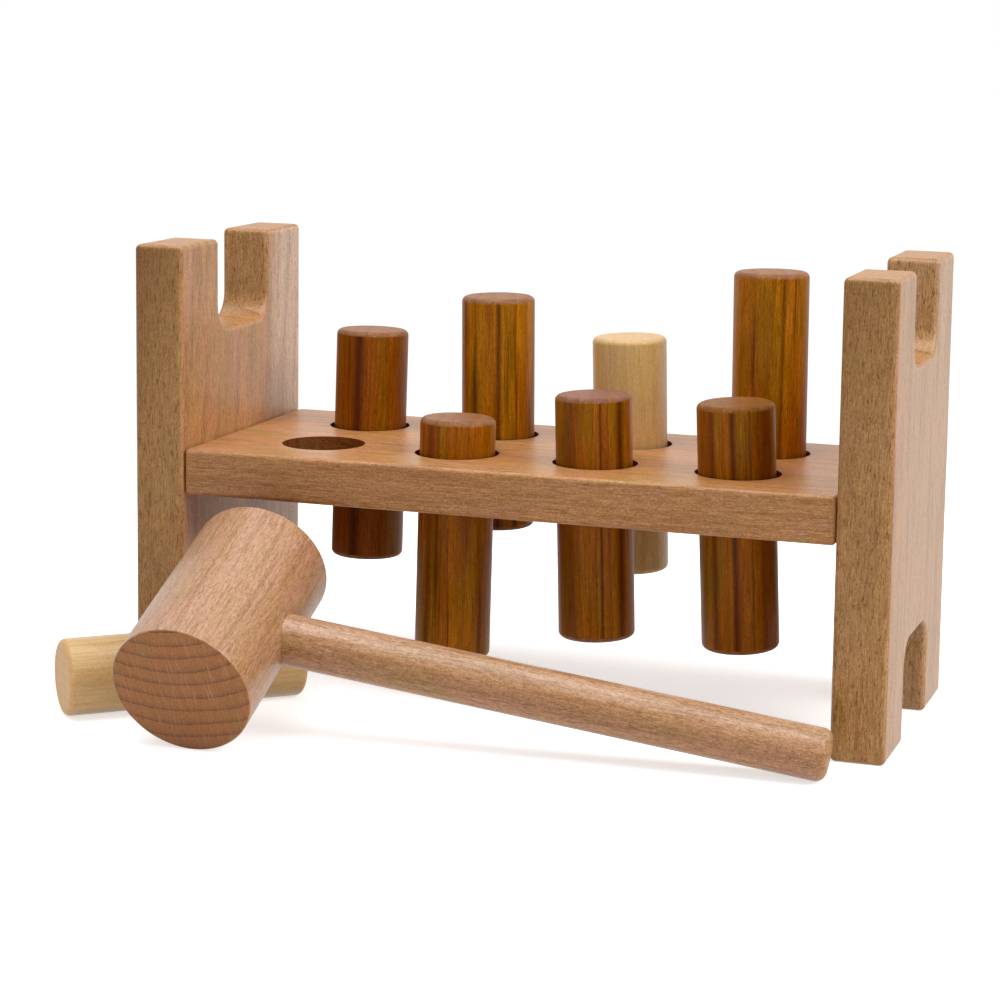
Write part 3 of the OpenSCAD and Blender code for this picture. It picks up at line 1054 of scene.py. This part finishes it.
# The end colours below, too, partly paint the sheen and top light on the peg tops.
BROWN_PEGS = {
    "peg_back_1": {"seed": 0.13, "base": "#96510a", "streaks": [(-4.5, 3, 0.85)]},
    "peg_back_2": {
        "seed": 0.5, "base": "#ba7816", "pink": "#9a520c", "yellow_strength": 1, "streak_strength": 0.6,
        "streaks": [(0, 1.8, 0.8)],
    },
    "peg_back_4": {
        "seed": 0.87, "base": "#bc7622", "pink": "#a05410", "streak_strength": 0.6, "wander_mm": 4,
        "streaks": [(3, 1.2, 0.5)],
    },
    "peg_front_2": {
        "seed": 1.24, "base": "#ac640c", "yellow": "#a26c10", "yellow_strength": 1, "streak_strength": 0.6,
        "streaks": [(-9, 2, 0.5)],
    },
    "peg_front_3": {
        "seed": 1.61, "base": "#a86209", "end": "#8c5f50",
        "streaks": [(-8.5, 3, 0.5), (1.8, 0.9, 0.8), (8.3, 2.2, 0.8)],
    },
    "peg_front_4": {
        "seed": 1.98, "base": "#aa6408", "yellow_strength": 1,
        "end": "#8f5e34", "end_yellow": "#8f5c28", "end_ray": "#a87440",
        "streaks": [(-8.7, 1.6, 0.7), (-2.3, 1.8, 0.8), (3.4, 0.8, 0.5), (8, 3.5, 0.5)],
    },
}
MAPLE_PEGS = {
    "peg_back_3": {"seed": 2.35, "base": "#dfbc80"},
    "lying_peg": {"seed": 2.72, "base": "#e2be88", "end": "#e3b47c", "end_yellow": "#dfb074"},
}


def make_peg(node, timber, look):
    """A peg of one wood, along the axis on which it slides."""
    axis = slides[frame["nodes"][node]["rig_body"]]
    outward = UP if node == "lying_peg" else ASIDE
    material = wood("oiled_" + timber + "_" + node, middle_of(node), axis, outward, look)
    make_piece(rod(node, axis, PEG_RADIUS, PEG_LENGTH, PEG_RIM), node + "_rod", node, material)


for node, change in BROWN_PEGS.items():
    make_peg(node, "brown_hardwood", {**BROWN, **change})
for node, change in MAPLE_PEGS.items():
    make_peg(node, "maple", {**MAPLE, **change})

# %% [markdown]
# ## The mallet head
#
# The head is a turned billet of beech that leans on the lying peg, 22.7 degrees up from the
# floor. Its end shows the rings as flat arcs that sag, so the pith lay above it, and the rings
# are even and dark there. Turning cuts the rays at every angle round the side, so the flecks are
# small and the same all round. No joint slides along the head, so its axis is written out.

# %% make the mallet head
HEAD_AXIS = Vector((-0.0193202, 0.922336, 0.385906))
HEAD_RADIUS = 23.625 * MM
HEAD_LENGTH = 72 * MM
HEAD_RIM = 1.0 * MM
PITH_ASIDE = 0.085
HEAD_BEECH = {
    **BEECH, "seed": 2.3, "pith_mm": 65, "curl_mm": 0.8,
    "base": "#bc9070", "pink": "#c2907a", "pink_strength": 0.7, "yellow": "#b58f64", "flat_shade_strength": 0,
    # This sapwood runs towards the pith, so it is no sapwood: it makes the upper side of the head paler, a
    # painted top light.
    "patch_mm": (8, 6, 16), "sap": "#d2ac90", "sapwood": (-6, -22, 0.35), "streak_strength": 0.35,
    "ring_drift": 0.3, "ring_power": 5, "ring_strength": 0.1,
    "ray": "#87571f", "ray_mm": (1.2, 0.45, 1.9), "ray_from": 0.52, "ray_strength": 0.6, "ray_least": 0.7,
    "fibre_mm": (0.45, 0.45, 4), "fibre_strength": 0.2, "pore_strength": 0.16,
    "end": "#a66a3b", "end_yellow": "#9a6c36", "end_dark": "#683a1c", "end_ray": "#c3906a",
    "end_ring_strength": 0.95,
}
head_up = UP - HEAD_AXIS.z * HEAD_AXIS
head_outward = PITH_ASIDE * ASIDE - head_up
head_middle = middle_of("mallet_head")
beech = wood("turned_beech_mallet_head", head_middle, HEAD_AXIS, head_outward, HEAD_BEECH)
billet = rod("mallet_head", HEAD_AXIS, HEAD_RADIUS, HEAD_LENGTH, HEAD_RIM, sides=128)
make_piece(billet, "mallet_head_turning", "mallet_head", beech)

# %% [markdown]
# ## The handle
#
# The handle is 17 mm beech rod, glued into the side of the head, and its free end rests on the
# floor. It runs straight out of the middle of the head, so the two middles give its axis. Its
# tip is well rounded for small hands.

# %% make the handle
HANDLE_RADIUS = 8.5 * MM
HANDLE_LENGTH = 215 * MM
HANDLE_RIM = 3.5 * MM
HANDLE_OUTWARD = (0, 0.3, 1)
HANDLE_BEECH = {
    **BEECH, "seed": 3.1, "pith_mm": 60, "curl_mm": 0.8,
    "base": "#b88b66", "pink": "#bd8b70", "yellow": "#b08c5c", "flat_shade_strength": 0, "sapwood": (0, 6, 0.4),
    "streaks": [(-2.5, 4, 0.35)], "streak_strength": 0.45,
    "ray": "#7d4c18", "ray_mm": (1.5, 0.45, 2.2), "ray_from": 0.52, "ray_strength": 0.65, "ray_least": 0.6,
    "fibre_mm": (0.5, 0.5, 5),
}
handle_middle = middle_of("mallet_handle")
handle_axis = (handle_middle - head_middle).normalized()
beech = wood("oiled_beech_handle", handle_middle, handle_axis, HANDLE_OUTWARD, HANDLE_BEECH)
stick = rod("mallet_handle", handle_axis, HANDLE_RADIUS, HANDLE_LENGTH, HANDLE_RIM)
make_piece(stick, "mallet_handle_rod", "mallet_handle", beech)

# %% [markdown]
# ## Rings and dowels
#
# A rubber ring sits in a groove inside each hole and grips its peg, and four glued dowels hold
# the shelf to the boards. Their measured shapes are right as they are, so they only get their
# materials. Moulded rubber is matt and nearly black, with a fine grey bloom that is drawn as a
# noise of about a millimetre. The dowels are bare birch, so like maple that they share it.

# %% rubber and birch
BLOOM_SCALE = 900
BLOOM_DEPTH = 0.05 * MM
BLOOM_STRENGTH = 0.2
SMOOTH_RUBBER, DULL_RUBBER = 0.55, 0.8
RUBBER_IOR = 1.52

rubber, tree = new_material("moulded_black_rubber")
place = add(tree, "TexCoord")
bloom = add(tree, "TexNoise", {"Vector": place.outputs["Object"], "Scale": BLOOM_SCALE, "Detail": 3})
shade = add(tree, "Mix", {
    0: bloom.outputs["Fac"], 6: linear("#1c1b1a"), 7: linear("#35322f"),
}, data_type="RGBA")
dull = add(tree, "MapRange", {
    "Value": bloom.outputs["Fac"], "To Min": SMOOTH_RUBBER, "To Max": DULL_RUBBER,
})
pits = add(tree, "Bump", {
    "Height": bloom.outputs["Fac"], "Strength": BLOOM_STRENGTH, "Distance": BLOOM_DEPTH,
})
shader = add(tree, "BsdfPrincipled", {
    "Base Color": shade.outputs[2], "Roughness": dull.outputs[0], "Normal": pits.outputs[0],
    "IOR": RUBBER_IOR,
})
add(tree, "OutputMaterial", {"Surface": shader.outputs[0]})


def dress(node, material):
    """Gives a node of the model another material."""
    mesh = frame["nodes"][node].data
    mesh.materials.clear()
    mesh.materials.append(material)


for hole in holes:
    dress("ring_" + hole, rubber)
for side in ("left", "right"):
    for row in ("front", "back"):
        node = f"dowel_{side}_{row}"
        dress(node, wood("birch_" + node, middle_of(node), RIGHT, BACK, MAPLE))
print(len(holes), "rings and 4 dowels dressed")
